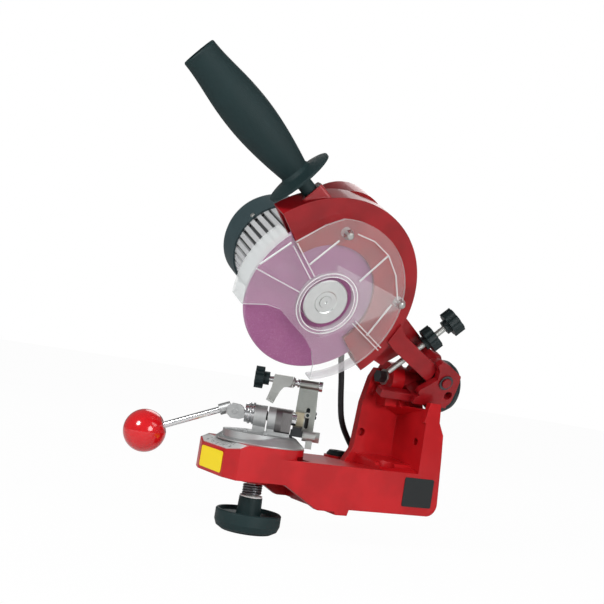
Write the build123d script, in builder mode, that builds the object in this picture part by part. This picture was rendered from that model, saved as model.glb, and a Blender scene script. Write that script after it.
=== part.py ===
from build123d import *
from math import atan2, cos, degrees, hypot, pi, radians, sin, tan
import os

os.makedirs("parts", exist_ok=True)

# Electric chainsaw sharpener. Millimetres, +Z up.
# The origin is the middle of the bench face under the foot; the front hangs over the bench edge.

# clearances
slip = 0.05           # radial running fit of shafts and pins
sink = 0.3            # between curved faces of different moving pieces
side_play = 0.5       # flat running gap along an axis

# base casting
reach = 130.0         # table axis ahead of the middle of the bench face
half_width = 42.0
deck_top = 49.0
arm_top = 40.0
wall = 6.0
nose = 47.0           # front face ahead of the table axis
nose_half = 25.0
nose_under = 17.5
edge_step = 2.5       # bench edge step below the bench face
edge_stop = 5.5       # bench edge stop below the bench face
foot_front = 82.0
foot_rear = 184.0
flange_front = 156.0
flange_top = 103.0
lip_top = 110.0
web_left = -16.0
web_thick = 8.0
web_back = 2.0        # left behind the blind holes of the web
bench_hole = 4.25
bench_hole_x = 26.5
bench_hole_y = 127.0
wall_hole = 3.5
wall_hole_x = 29.5
wall_hole_z = 70.0

# table clamp
bolt_radius = 6.0
spring_radius = 9.0
table_spring_length = 12.0
knob_radius = 30.7
knob_height = 18.5
knob_bottom = -33.0

# turntable and vise
swivel = 30.0
dome_radius = 41.7
dome_top = 58.2
disc_radius = 29.7
disc_floor = 54.0
disc_top = 58.5
pad_radius = 29.5
pad_floor = 50.3
jaw_radius = 12.2
jaw_height = 71.7
chain_slot = 1.6
chain_at = 3.0
rod_height = 75.0
clamp_rod_radius = 3.0
cam_reach = 9.5
cam_drop = 2.5
cam_angle = 75.0
ball_radius = 20.0
lever_length = 84.4
lever_slope = 204.5

# chain stop
stop_across = -25.5
stop_height = 109.0
stop_rod_radius = 3.0
star_radius = 10.6
plate_thick = 3.0
slot_width = 3.7

# head
tilt = 25.5
tilt_height = 128.0
wheel_x = 53.0
wheel_y = 7.0
wheel_z = 191.0
wheel_radius = 72.5
wheel_thick = 4.8
flange_radius = 21.7
shaft_radius = 5.0
shroud_radius = 96.0
shroud_front = 6.0
shroud_back = -16.0
shroud_wall = 3.5
shroud_start = 135.0
shroud_end = -42.0
guard_front = 14.5
guard_thick = 2.5
guard_radius = 80.0
guard_ring = 30.0
motor_radius = 46.0
cap_radius = 48.0
hinge_v = 165.0
hinge_w = -58.0
pin_radius = 5.0
tilt_bolt_radius = 4.0
tilt_knob_radius = 27.0
depth_radius = 3.0
grip_radius = 20.0
cord_radius = 3.0
coil_radius = 33.0
coil_x = -95.0
coil_y = 216.0


def polar(radius, angle):
    return (radius * cos(radians(angle)), radius * sin(radians(angle)))


def outline(plane, points, rounds=None):
    with BuildSketch(plane) as drawn:
        with BuildLine():
            Polyline(*points, close=True)
        make_face()
        for index, radius in (rounds or {}).items():
            corner = drawn.vertices().sort_by_distance(Vector(*points[index]))[0]
            fillet(corner, radius)
    return drawn.sketch


def slab(plane, points, thick, rounds=None, mode=Mode.ADD):
    extrude(outline(plane, points, rounds), amount=thick, mode=mode)


def bar(plane, radius, length, mode=Mode.ADD):
    with BuildSketch(plane) as drawn:
        Circle(radius)
    extrude(drawn.sketch, amount=length, mode=mode)


def lathe(axis, points, mode=Mode.ADD):
    across = Plane(origin=axis.position, z_dir=axis.direction).x_dir
    plane = Plane(origin=axis.position, x_dir=across, z_dir=across.cross(axis.direction))
    revolve(outline(plane, points), axis=axis, mode=mode)


def sleeve(axis, inner, outer, start, end, mode=Mode.ADD):
    lathe(axis, [(inner, start), (outer, start), (outer, end), (inner, end)], mode)


def disc(axis, outer, start, end, mode=Mode.ADD):
    lathe(axis, [(0, start), (outer, start), (outer, end), (0, end)], mode)


def sector(plane, inner, outer, start, end, thick, holes=(), hole=1.5):
    half = (start + end) / 2
    with BuildSketch(plane) as drawn:
        with BuildLine():
            ThreePointArc(polar(outer, start), polar(outer, half), polar(outer, end))
            Line(polar(outer, end), polar(inner, end))
            ThreePointArc(polar(inner, end), polar(inner, half), polar(inner, start))
            Line(polar(inner, start), polar(outer, start))
        make_face()
        for place in holes:
            with Locations(place):
                Circle(hole, mode=Mode.SUBTRACT)
    extrude(drawn.sketch, amount=thick)


def lobes(plane, outer, count, depth, thick, bore):
    with BuildSketch(plane) as drawn:
        Circle(outer)
        with PolarLocations(outer + depth, count):
            Circle(depth * 2, mode=Mode.SUBTRACT)
        if bore > 0:
            Circle(bore, mode=Mode.SUBTRACT)
    extrude(drawn.sketch, amount=thick)


def save(piece, name):
    piece.part.label = name
    export_step(piece.part, "parts/" + name + ".step")


# ---------------------------------------------------------------- frames
table_axis = Axis((0, -reach, 0), (0, 0, 1))
side = Plane(origin=(0, -reach, 0), x_dir=(0, 1, 0), z_dir=(1, 0, 0))
top = Plane(origin=(0, -reach, 0))
front = Plane(origin=(0, -reach, 0), x_dir=(1, 0, 0), z_dir=(0, -1, 0))

along_u = Vector(sin(radians(swivel)), cos(radians(swivel)), 0)
across_u = Vector(cos(radians(swivel)), -sin(radians(swivel)), 0)
vise = Plane(origin=(0, -reach, 0), x_dir=along_u, z_dir=across_u)


def vise_axis(height, across=0.0):
    return Axis(vise.offset(across).from_local_coords((0, height, 0)), along_u)


normal = Vector(cos(radians(tilt)), 0, -sin(radians(tilt)))
upward = Vector(sin(radians(tilt)), 0, cos(radians(tilt)))
wheel_centre = Vector(wheel_x, wheel_y - reach, wheel_z)
head = Plane(origin=wheel_centre, x_dir=(0, 1, 0), z_dir=normal)
wheel_axis = Axis(wheel_centre, normal)
hinge_axis = Axis(head.from_local_coords((hinge_v, hinge_w, 0)), normal)
tilt_axis = Axis((0, -reach, tilt_height), (0, 1, 0))

# ---------------------------------------------------------------- base casting
bevel_start = 42.0
bevel_end = 33.0
lug_front = 128.0
lug_rear = 142.0
lug_radius = 16.0
lug_foot = 8.0
shelf_foot = 92.0
saddle_top = 112.0
saddle_rear = 171.0
hub_radius = 13.0
ear_x = -36.0
ear_y = 111.0
ear_radius = 14.0
grommet_radius = 9.0
with BuildPart() as base_casting:
    slab(side.offset(-half_width), [
        (-nose, nose_under), (10, nose_under), (47, -edge_step), (foot_front - 16, -edge_step),
        (foot_front - 14.5, -edge_stop), (foot_front - 1.5, -edge_stop), (foot_front, 0),
        (foot_rear + 0.9, 0), (foot_rear - 1.7, arm_top), (-nose, arm_top)],
        2 * half_width, {7: 12, 1: 8, 2: 6})
    slab(side.offset(-half_width), [
        (flange_front, arm_top - 1), (foot_rear - 1.7, arm_top - 1), (181, 59), (179, 80),
        (172, 92.5), (171, flange_top), (flange_front, flange_top)], 2 * half_width)
    # raised round drum under the turntable
    with BuildSketch(top.offset(arm_top - 1)) as drum:
        Circle(half_width)
        with Locations((0, -nose / 2)):
            Rectangle(2 * half_width, nose)
    extrude(drum.sketch, amount=deck_top - arm_top + 1)
    # front bevel and cut front corners
    slab(side.offset(-half_width), [(-nose, bevel_start), (-bevel_end, deck_top), (-bevel_end, 70), (-nose, 70)],
         2 * half_width, mode=Mode.SUBTRACT)
    for hand in (-1, 1):
        slab(top, [(hand * nose_half, -nose), (hand * half_width, -nose + wall),
                   (hand * half_width, -nose - 1), (hand * nose_half, -nose - 1)],
             deck_top + 1, mode=Mode.SUBTRACT)
        # lip of the wall flange
        slab(side.offset(hand * (half_width - wall / 2) - wall / 2),
             [(154, 90), (172.5, 91.5), (171, lip_top), (158, lip_top)], wall)
    # gusset on the far side, behind the web
    slab(side.offset(-half_width), [
        (lug_front, arm_top - 1), (158, arm_top - 1), (158, lip_top + 2), (140, lip_top + 2)], wall)
    # hollow under the drum and arm, and in the foot
    slab(side.offset(wall - half_width), [
        (-nose + wall, -20), (-nose + wall, bevel_start - 3), (-bevel_end, deck_top - wall), (36, deck_top - wall),
        (36, arm_top - wall), (58, arm_top - wall), (58, -20)], 2 * (half_width - wall), mode=Mode.SUBTRACT)
    for hand in (-1, 1):
        with BuildSketch(top) as pocket:
            with Locations((hand * 22, (88 + 172) / 2)):
                RectangleRounded(28, 84, 5)
        extrude(pocket.sketch, amount=arm_top - wall, mode=Mode.SUBTRACT)
    # boss round the table bolt, bench bolt bosses
    disc(table_axis, 13, 12, deck_top - wall + 1)
    for hand in (-1, 1):
        with BuildSketch(top) as boss:
            with Locations((hand * bench_hole_x, bench_hole_y)):
                Circle(11)
        extrude(boss.sketch, amount=arm_top)
    # hollow behind the wall flange, with its bolt bosses
    slab(side.offset(wall - half_width), [
        (flange_front + wall, arm_top + wall), (200, arm_top + wall), (200, flange_top - wall),
        (flange_front + wall, flange_top - wall)], 2 * (half_width - wall), mode=Mode.SUBTRACT)
    for hand in (-1, 1):
        wall_boss = Plane(origin=(hand * wall_hole_x, flange_front + 1 - reach, wall_hole_z),
                          x_dir=(-1, 0, 0), z_dir=(0, 1, 0))
        bar(wall_boss, 8, 179.8 - flange_front - 1)
    # web up to the tilt lug
    slab(side.offset(web_left), [
        (100.5, arm_top - 1), (109.5, 54), (112.5, 100), (118.5, 126), (124, 136), (lug_rear, 136),
        (lug_rear, 108),
        (flange_front + 1, flange_top), (flange_front + 1, arm_top - 1)], web_thick, {1: 14, 3: 10})
    disc(tilt_axis, lug_radius, lug_front, lug_rear)
    slab(side.offset(web_left), [
        (lug_front, 100), (lug_rear, 100), (lug_rear, tilt_height), (lug_front, tilt_height)], lug_foot - web_left)
    # corner gusset between web and flange
    with BuildSketch(top.offset(flange_top)) as shelf:
        with BuildLine():
            Polyline((web_left + 2, lug_front - 1), (half_width, flange_front + 3), (web_left + 2, flange_front + 3),
                     close=True)
        make_face()
    with BuildSketch(top.offset(shelf_foot)) as point:
        with BuildLine():
            Polyline((web_left + 2, 151), (1, flange_front + 3), (web_left + 2, flange_front + 3), close=True)
        make_face()
    loft([shelf.sketch.face(), point.sketch.face()])
    # saddle between lug and flange, under the yoke
    saddle = Plane(origin=(0, saddle_rear - reach, 0), x_dir=(1, 0, 0), z_dir=(0, -1, 0))
    slab(saddle, [
        (web_left + 2, flange_top - 2), (14, flange_top - 2), (12, 108), (web_left + 2, saddle_top)],
        saddle_rear - lug_rear)
    # sloping floor behind the arm
    floor_plane = Plane(origin=(0, flange_front + 1 - reach, 0), x_dir=(1, 0, 0), z_dir=(0, -1, 0))
    slab(floor_plane, [(web_left + 2, arm_top - 1), (half_width, arm_top - 1), (half_width, arm_top),
                       (34, 43), (30, 43), (27, 46), (web_left + 2, 50)], 44)
    # cord ear
    with BuildSketch(top.offset(arm_top - 3)) as ear:
        with Locations((ear_x, ear_y)):
            Circle(ear_radius)
    extrude(ear.sketch, amount=5)
    with BuildSketch(top.offset(arm_top - wall - 1)) as ear_hole:
        with Locations((ear_x - 1, ear_y)):
            Circle(grommet_radius)
    extrude(ear_hole.sketch, amount=20, mode=Mode.SUBTRACT)
    # holes
    disc(table_axis, bolt_radius + slip, 0, 60, Mode.SUBTRACT)
    disc(tilt_axis, tilt_bolt_radius + slip, lug_front - 1, lug_rear + 1, Mode.SUBTRACT)
    for hand in (-1, 1):
        with BuildSketch(top.offset(-1)) as bench:
            with Locations((hand * bench_hole_x, bench_hole_y)):
                Circle(bench_hole)
        extrude(bench.sketch, amount=60, mode=Mode.SUBTRACT)
        with BuildSketch(top.offset(34)) as seat:
            with Locations((hand * bench_hole_x, bench_hole_y)):
                Circle(9)
        extrude(seat.sketch, amount=14, mode=Mode.SUBTRACT)
        wall_bore = Plane(origin=(hand * wall_hole_x, flange_front - 1 - reach, wall_hole_z),
                          x_dir=(-1, 0, 0), z_dir=(0, 1, 0))
        bar(wall_bore, wall_hole, 40, Mode.SUBTRACT)
    with BuildSketch(side.offset(web_left + web_back)) as web_holes:
        with Locations((116.5, 70.5)):
            Circle(4)
        with Locations((124, 115)):
            SlotOverall(15, 8, rotation=60)
    extrude(web_holes.sketch, amount=web_thick, mode=Mode.SUBTRACT)
save(base_casting, "base_casting")

plate_sheet = 0.6
bevel_angle = atan2(deck_top - bevel_start, nose - bevel_end)
bevel_length = hypot(nose - bevel_end, deck_top - bevel_start)
bevel = Plane(origin=(0, -nose - reach, bevel_start), x_dir=(1, 0, 0),
              z_dir=(0, -sin(bevel_angle), cos(bevel_angle)))
plate_half = half_width - 2
with BuildPart() as scale_plate:
    slab(bevel, [(-nose_half + 1, 1.5), (nose_half - 1, 1.5), (plate_half, 7.5), (plate_half, bevel_length - 1.7),
                 (-plate_half, bevel_length - 1.7), (-plate_half, 7.5)], plate_sheet)
save(scale_plate, "scale_plate")

with BuildPart() as blank_plates:
    with BuildSketch(front.offset(nose)) as front_face:
        with Locations((0, 30)):
            RectangleRounded(44, 19, 2)
    extrude(front_face.sketch, amount=plate_sheet)
    with BuildSketch(side.offset(half_width)) as side_face:
        with Locations((158.5, 22)):
            RectangleRounded(35, 28, 1.5)
    extrude(side_face.sketch, amount=plate_sheet)
save(blank_plates, "blank_plates")

with BuildPart() as ear_grommet:
    grommet_axis = Axis((ear_x - 1, ear_y - reach, 0), (0, 0, 1))
    lathe(grommet_axis, [(5.5, arm_top - 3), (grommet_radius - 0.1, arm_top - 3), (grommet_radius - 0.1, arm_top + 2),
                         (grommet_radius + 2, arm_top + 2), (grommet_radius + 2, arm_top + 3.5),
                         (grommet_radius - 0.5, arm_top + 7), (5.5, arm_top + 7)])
save(ear_grommet, "ear_grommet")

# ---------------------------------------------------------------- table clamp
with BuildPart() as table_bolt:
    disc(table_axis, bolt_radius, -26, disc_floor)
    disc(table_axis, 10, disc_floor - 2, disc_floor)
save(table_bolt, "table_bolt")


def coil_profile(bore, wire, start, length, turns):
    pitch = length / turns
    points = [(bore, start)]
    for turn in range(turns):
        low = start + turn * pitch
        points += [(bore + wire * 0.5, low), (bore + wire, low + pitch * 0.3), (bore + wire, low + pitch * 0.6),
                   (bore + wire * 0.5, low + pitch * 0.95)]
    points += [(bore, start + length)]
    return points


with BuildPart() as table_spring:
    lathe(table_axis, coil_profile(bolt_radius + 0.4, spring_radius - bolt_radius, 0, table_spring_length, 4))
save(table_spring, "table_spring")

with BuildPart() as table_washer:
    sleeve(table_axis, bolt_radius + slip, 10.5, -1.4, 0)
save(table_washer, "table_washer")

knob_rim = knob_bottom + knob_height
with BuildPart() as table_knob:
    lathe(table_axis, [
        (bolt_radius + slip, knob_bottom + 3), (0, knob_bottom + 3), (0, knob_bottom), (knob_radius - 7, knob_bottom),
        (knob_radius - 2, knob_bottom + 3), (knob_radius, knob_bottom + 8), (knob_radius, knob_rim - 1),
        (knob_radius - 1, knob_rim), (knob_radius - 3, knob_rim), (knob_radius - 3.5, knob_rim - 1.5),
        (knob_radius - 4.2, knob_rim - 3.5), (11.5, knob_rim - 3.9), (10.8, -1.4), (bolt_radius + slip, -1.4)])
save(table_knob, "table_knob")

# ---------------------------------------------------------------- turntable and vise
with BuildPart() as turntable_dome:
    lathe(table_axis, [
        (bolt_radius + slip, deck_top), (dome_radius, deck_top), (dome_radius, deck_top + 1.2),
        (disc_radius + 3.5, dome_top - 0.8), (disc_radius + sink + 1.2, dome_top), (disc_radius + sink, dome_top),
        (disc_radius + sink, disc_floor), (10 + slip, disc_floor), (10 + slip, disc_floor - 2),
        (bolt_radius + slip, disc_floor - 2)])
save(turntable_dome, "turntable_dome")

jaw_front = -9.0
slot_front = chain_at - chain_slot / 2
slot_rear = chain_at + chain_slot / 2
jaw_rear = 11.0
block_rear = 26.0
jaw_axis = vise_axis(jaw_height)
rod_axis = vise_axis(rod_height)
saddle_top = jaw_height - jaw_radius
with BuildPart() as vise_body:
    # offset round pad lying on the dome
    with BuildSketch(Plane(origin=vise.from_local_coords((-6, pad_floor, 8)))) as pad:
        Circle(pad_radius)
    extrude(pad.sketch, amount=disc_top - pad_floor)
    lathe(table_axis, [
        (0, deck_top), (dome_radius, deck_top), (dome_radius, deck_top + 1.2), (disc_radius + 3.5, dome_top - 0.8),
        (disc_radius + sink + 1.2, dome_top), (0, dome_top)], Mode.SUBTRACT)
    disc(table_axis, disc_radius, disc_floor, disc_top)
    # slide way under the moving jaw and the fixed jaw behind the chain slot
    slab(vise.offset(-12), [
        (-24, disc_top - 1), (jaw_front - 4, disc_top - 1), (jaw_front - 4, disc_top + 0.6), (-22, disc_top + 0.6)], 24)
    disc(jaw_axis, jaw_radius, slot_rear, jaw_rear)
    slab(vise.offset(-9), [(slot_rear, disc_top - 1), (block_rear, disc_top - 1), (block_rear, saddle_top + 2),
                           (jaw_rear, saddle_top + 2), (jaw_rear, 66), (slot_rear, 66)], 18)
    for place in (-16, 2.5):
        slab(vise.offset(14), [(place, disc_top - 1), (place + 3, disc_top - 1), (place + 3, disc_top + 2.5),
                               (place, disc_top + 2.5)], 8)
    disc(jaw_axis, jaw_radius + sink, jaw_rear, block_rear, Mode.SUBTRACT)
    disc(rod_axis, clamp_rod_radius + slip, slot_rear - 1, block_rear + 1, Mode.SUBTRACT)
save(vise_body, "vise_body")

with BuildPart() as rear_jaw:
    disc(jaw_axis, jaw_radius, jaw_rear, block_rear)
    disc(rod_axis, clamp_rod_radius + slip, jaw_rear - 1, block_rear + 1, Mode.SUBTRACT)
    # flat where the side screw sits
    slab(vise.offset(8.5), [(17, 62), (27, 62), (27, 90), (17, 90)], 6, mode=Mode.SUBTRACT)
save(rear_jaw, "rear_jaw")

with BuildPart() as moving_jaw:
    disc(jaw_axis, jaw_radius, jaw_front, slot_front)
    slab(vise.offset(-10), [(jaw_front, disc_top + slip), (slot_front, disc_top + slip), (slot_front, 66),
                            (jaw_front, 66)], 20)
    disc(rod_axis, clamp_rod_radius + slip, jaw_front - 1, slot_front + 1, Mode.SUBTRACT)
    disc(rod_axis, 5, -4, slot_front + 1, Mode.SUBTRACT)
save(moving_jaw, "moving_jaw")

with BuildPart() as jaw_spring:
    lathe(rod_axis, coil_profile(clamp_rod_radius + 0.3, 1.4, -4, slot_rear + 4, 4))
save(jaw_spring, "jaw_spring")

washer_front = -18.0
with BuildPart() as clamp_washer:
    lathe(rod_axis, [
        (clamp_rod_radius + slip, washer_front), (9, washer_front), (9, washer_front + 3), (10, washer_front + 3.2),
        (10, washer_front + 5), (9, washer_front + 5.2), (9, jaw_front - 2), (10.2, jaw_front - 1.8),
        (10.2, jaw_front), (clamp_rod_radius + slip, jaw_front)])
save(clamp_washer, "clamp_washer")

# the eye bolt of the clamp: its rod, the eye round the cam pin, and its nut behind the rear jaw
cam_u = washer_front - cam_reach
cam_pin_radius = 2.5
eye_half = 2.4
cam_plane = Plane(origin=vise.from_local_coords((cam_u, rod_height, 0)), x_dir=along_u, z_dir=across_u)
with BuildPart() as clamp_rod:
    disc(rod_axis, clamp_rod_radius, cam_u + 3, block_rear + 4.5)
    with BuildSketch(cam_plane.offset(-eye_half)) as eye:
        Circle(5)
    extrude(eye.sketch, amount=2 * eye_half)
    sleeve(rod_axis, clamp_rod_radius, 5.5, block_rear, block_rear + 4.5)
    bar(cam_plane.offset(-10), cam_pin_radius + slip, 20, Mode.SUBTRACT)
save(clamp_rod, "clamp_rod")

hub_half = 7.5
slot_half = clamp_rod_radius + 0.15
cam_rate = cam_drop / radians(cam_angle)
cam_face = cam_reach - 0.05
cam_points = [(cam_face, -5.0)]
for step in range(6):
    turn = radians(cam_angle) * step / 5
    lift = cam_face - cam_rate * turn
    cam_points.append((lift * cos(turn) + cam_rate * sin(turn), lift * sin(turn) - cam_rate * cos(turn)))
cam_points += [(-3, 6.6), (-7, 4), (-7.5, -3), (-3, -6.8), (5, -7.0)]
lever_dir = (cos(radians(lever_slope)), sin(radians(lever_slope)))
lever_start = vise.from_local_coords((-31, rod_height + 3.5, 0))
lever_vector = along_u * lever_dir[0] + Vector(0, 0, 1) * lever_dir[1]
lever_axis = Axis(lever_start, lever_vector)
with BuildPart() as lever_hub:
    slab(cam_plane.offset(-hub_half), cam_points, 2 * hub_half)
    disc(lever_axis, 5.2, 1, 12)
    # slot for the eye bolt
    slab(cam_plane.offset(-slot_half), [(-5.6, -6), (20, -6), (20, 12), (-5.6, 12)], 2 * slot_half,
         mode=Mode.SUBTRACT)
    # cam pin, pressed in across the slot
    bar(cam_plane.offset(-hub_half - 0.6), cam_pin_radius, 2 * hub_half + 1.2)
    disc(lever_axis, 3 + slip, 5, 20, Mode.SUBTRACT)
save(lever_hub, "lever_hub")

with BuildPart() as lever_rod:
    disc(lever_axis, 3, 5, lever_length - 4)
save(lever_rod, "lever_rod")

ball_centre = lever_start + lever_vector * lever_length
with BuildPart() as lever_ball:
    with Locations(ball_centre):
        Sphere(ball_radius)
    disc(lever_axis, 3 + slip, lever_length - 30, lever_length - 4, Mode.SUBTRACT)
    disc(lever_axis, 8, lever_length - 30, lever_length - ball_radius + 1.6, Mode.SUBTRACT)
save(lever_ball, "lever_ball")

# rear post that carries the chain stop
with BuildPart() as stop_post:
    # black arm on the disc, running to the far side behind the jaws
    slab(vise.offset(-30), [(28, 60), (36.4, 60), (36.4, 69), (28, 69)], 36)
    slab(vise.offset(-6), [(block_rear, disc_top), (28.9, disc_top), (28.9, 60), (38, 60), (38, 66),
                           (block_rear, 66)], 12)
    disc(jaw_axis, jaw_radius + sink, jaw_rear, block_rear + 0.5, Mode.SUBTRACT)
    disc(rod_axis, 6.2, block_rear - 1, 32, Mode.SUBTRACT)
    # guide behind the slotted plate
    slab(vise.offset(-33), [(29, 60), (46, 60), (46, 84), (29, 84)], 33 - 27 - 0.05)
    bar(Plane(origin=vise.from_local_coords((40.5, 80, -40)), x_dir=along_u, z_dir=across_u),
        1.6 + slip, 20, Mode.SUBTRACT)
save(stop_post, "stop_post")

with BuildPart() as stop_block:
    slab(vise.offset(-23.95), [(29, 69), (37.3, 69), (37.3, 82), (29, 82)], 9.0)
    disc(vise_axis(79.5, -18.5), 2 + slip, 28, 40, Mode.SUBTRACT)
save(stop_block, "stop_block")

with BuildPart() as stop_block_screw:
    screw_axis = vise_axis(79.5, -18.5)
    lathe(screw_axis, [(0, 23.5), (2.5, 23.5), (3.6, 24.8), (3.6, 26.8), (2, 26.8), (2, 38), (0, 38)])
save(stop_block_screw, "stop_block_screw")

with BuildPart() as stop_pin:
    pin_axis = vise_axis(62, 0)
    disc(pin_axis, 5, 38, 50)
    with BuildSketch(Plane(origin=vise.from_local_coords((50, 62, 0)), x_dir=across_u, z_dir=along_u)) as hexagon:
        RegularPolygon(5.6, 6)
    extrude(hexagon.sketch, amount=4)
    slab(vise.offset(-3), [(42, 50.5), (48, 50.5), (48, 58), (42, 58)], 6)
save(stop_pin, "stop_pin")

barrel_start = 29.0
barrel_end = 46.5
plate_back = stop_across - plate_thick / 2
stop_axis = vise_axis(stop_height, stop_across)
with BuildPart() as stop_bracket:
    slab(vise.offset(plate_back), [
        (29, 111), (46.5, 111), (48, 86), (48, 64), (37, 64), (37, 73), (28.5, 78)], plate_thick, {3: 2, 6: 2})
    disc(stop_axis, 4.4, barrel_start, barrel_end)
    disc(stop_axis, stop_rod_radius + slip, barrel_start - 1, barrel_end + 1, Mode.SUBTRACT)
    with BuildSketch(vise.offset(plate_back - 1)) as slot:
        with Locations((40.5, 77)):
            SlotOverall(20, slot_width, rotation=90)
    extrude(slot.sketch, amount=plate_thick + 2, mode=Mode.SUBTRACT)
save(stop_bracket, "stop_bracket")

lock_plane = Plane(origin=vise.from_local_coords((40.5, 80, 0)), x_dir=along_u, z_dir=across_u)
with BuildPart() as stop_lock_knob:
    bar(lock_plane.offset(-41), 1.6, 41 - 22.0)
    lobes(lock_plane.offset(-41), 9.2, 12, 0.8, 6, 0)
    bar(lock_plane.offset(-35.1), 5, 2)
save(stop_lock_knob, "stop_lock_knob")

with BuildPart() as stop_nut:
    with BuildSketch(lock_plane.offset(-23.9)) as small_nut:
        RegularPolygon(3.0, 6)
        Circle(1.6 + slip, mode=Mode.SUBTRACT)
    extrude(small_nut.sketch, amount=1.9)
save(stop_nut, "stop_nut")

with BuildPart() as stop_rod:
    disc(stop_axis, stop_rod_radius, -9, 50.5)
    sleeve(stop_axis, stop_rod_radius, 5.2, barrel_end + side_play, 50.5)
    sleeve(stop_axis, stop_rod_radius, 4.2, barrel_start - 2.5, barrel_start - side_play)
save(stop_rod, "stop_rod")

with BuildPart() as star_knob:
    star_plane = Plane(origin=vise.from_local_coords((-15, stop_height, stop_across)), x_dir=across_u, z_dir=along_u)
    lobes(star_plane, star_radius, 7, 2.4, 8.5, 0)
    bar(star_plane.offset(8.5), 6.4, 5.5)
    disc(stop_axis, stop_rod_radius + slip, -9, 5, Mode.SUBTRACT)
save(star_knob, "star_knob")

with BuildPart() as pawl_nut:
    sleeve(stop_axis, stop_rod_radius + slip, 5.4, 21.9, 23)
    with BuildSketch(Plane(origin=vise.from_local_coords((23, stop_height, stop_across)),
                           x_dir=across_u, z_dir=along_u)) as round_nut:
        RegularPolygon(4.8, 6)
        Circle(stop_rod_radius + slip, mode=Mode.SUBTRACT)
    extrude(round_nut.sketch, amount=1.2)
save(pawl_nut, "pawl_nut")

with BuildPart() as pawl:
    sleeve(stop_axis, stop_rod_radius + slip, 5.5, 3.5, 21.4)
    slab(vise.offset(stop_across + 3.5), [
        (3.4, 114), (21.4, 114), (20, 104.5), (14, 103), (11, 99), (6, 86.5), (-1, 89.5), (2.4, 102)], 2.2)
    slab(vise.offset(stop_across + 3.5), [(-1, 89.5), (6, 86.5), (6.8, 88.4), (-0.2, 91.4)], 14.5)
    disc(stop_axis, stop_rod_radius + slip, 0, 30, Mode.SUBTRACT)
save(pawl, "pawl")

# ---------------------------------------------------------------- tilt yoke
near_inner = 8.5
near_outer = 15.5
far_inner = -16.5
far_outer = -23.5
yoke_rear = 179.0
pin_plane = Plane(origin=hinge_axis.position, x_dir=(0, 1, 0), z_dir=normal)
with BuildPart() as tilt_yoke:
    disc(tilt_axis, hub_radius, lug_rear + side_play, 186)
    slab(head.offset(near_inner), [
        (152, -37), (162, -40), (180, -49), (181.5, -56), (182.5, -66), (182, -80), (176, -86), (150, -84),
        (139.5, -74), (139.5, -71), (155, -57), (153, -48), (148, -42)], near_outer - near_inner,
        {0: 3, 2: 3, 5: 5, 6: 5})
    slab(head.offset(far_outer), [(150, -46), (160, -42), (172, -44), (178, -52), (179, -84), (138, -84)],
         far_inner - far_outer, {1: 4, 2: 4})
    slab(head.offset(far_outer), [(138, -86), (yoke_rear, -86), (yoke_rear, -73), (150, -73), (138, -79)],
         near_outer - far_outer)
    # tongue with the stop pad under the depth screw
    slab(head.offset(-1), [(103, -88), (160, -88), (160, -80), (103, -80)], 9, {0: 3, 3: 1.5})
    slab(head.offset(1), [(134, -90), (150, -90), (150, -82), (118, -86)], 5)
    # room for the head's eye between the cheeks
    bar(pin_plane.offset(far_inner), 14.5, near_inner - far_inner, Mode.SUBTRACT)
    bar(pin_plane.offset(-40), pin_radius + slip, 80, Mode.SUBTRACT)
    with BuildSketch(head.offset(near_inner - 1)) as ear_bore:
        with Locations((175, -72)):
            Circle(4.5)
    extrude(ear_bore.sketch, amount=20, mode=Mode.SUBTRACT)
    with BuildSketch(head.offset(-10)) as yoke_bore:
        with Locations((175, -72)):
            Circle(4.5)
    extrude(yoke_bore.sketch, amount=30, mode=Mode.SUBTRACT)
    disc(tilt_axis, tilt_bolt_radius + slip, 130, 190, Mode.SUBTRACT)
save(tilt_yoke, "tilt_yoke")

with BuildPart() as tilt_bolt:
    disc(tilt_axis, tilt_bolt_radius, 121, 205)
    with BuildSketch(Plane(origin=(0, 119.5 - reach, tilt_height), x_dir=(1, 0, 0), z_dir=(0, -1, 0))) as bolt_head:
        RegularPolygon(6.5, 6)
    extrude(bolt_head.sketch, amount=-7)
save(tilt_bolt, "tilt_bolt")

with BuildPart() as tilt_washers:
    sleeve(tilt_axis, tilt_bolt_radius + slip, 7.8, 126.5, lug_front)
    sleeve(tilt_axis, tilt_bolt_radius + slip, 12, 186, 188)
save(tilt_washers, "tilt_washers")

with BuildPart() as tilt_lock_knob:
    lathe(tilt_axis, [
        (tilt_bolt_radius + slip, 188), (11, 188), (11.5, 191.5), (tilt_knob_radius - 5, 192.5),
        (tilt_knob_radius - 4, 190.6), (tilt_knob_radius - 1, 190.6), (tilt_knob_radius, 192),
        (tilt_knob_radius, 200), (tilt_knob_radius - 3, 206), (tilt_knob_radius - 8, 207), (0, 207), (0, 205.2),
        (tilt_bolt_radius + slip, 205.2)])
save(tilt_lock_knob, "tilt_lock_knob")

with BuildPart() as hinge_pin:
    bar(pin_plane.offset(far_outer - 3), pin_radius, near_outer - far_outer + 6)
save(hinge_pin, "hinge_pin")

with BuildPart() as hinge_circlips:
    sleeve(hinge_axis, pin_radius, 7.5, far_outer - 1.6, far_outer - 0.2)
    sleeve(hinge_axis, pin_radius, 7.5, near_outer + 0.2, near_outer + 1.6)
save(hinge_circlips, "hinge_circlips")

spring_start = 1.3
with BuildPart() as return_spring:
    lathe(hinge_axis, coil_profile(pin_radius + 1.2, 3.2, spring_start, near_inner - 0.3 - spring_start, 3))
save(return_spring, "return_spring")

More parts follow.
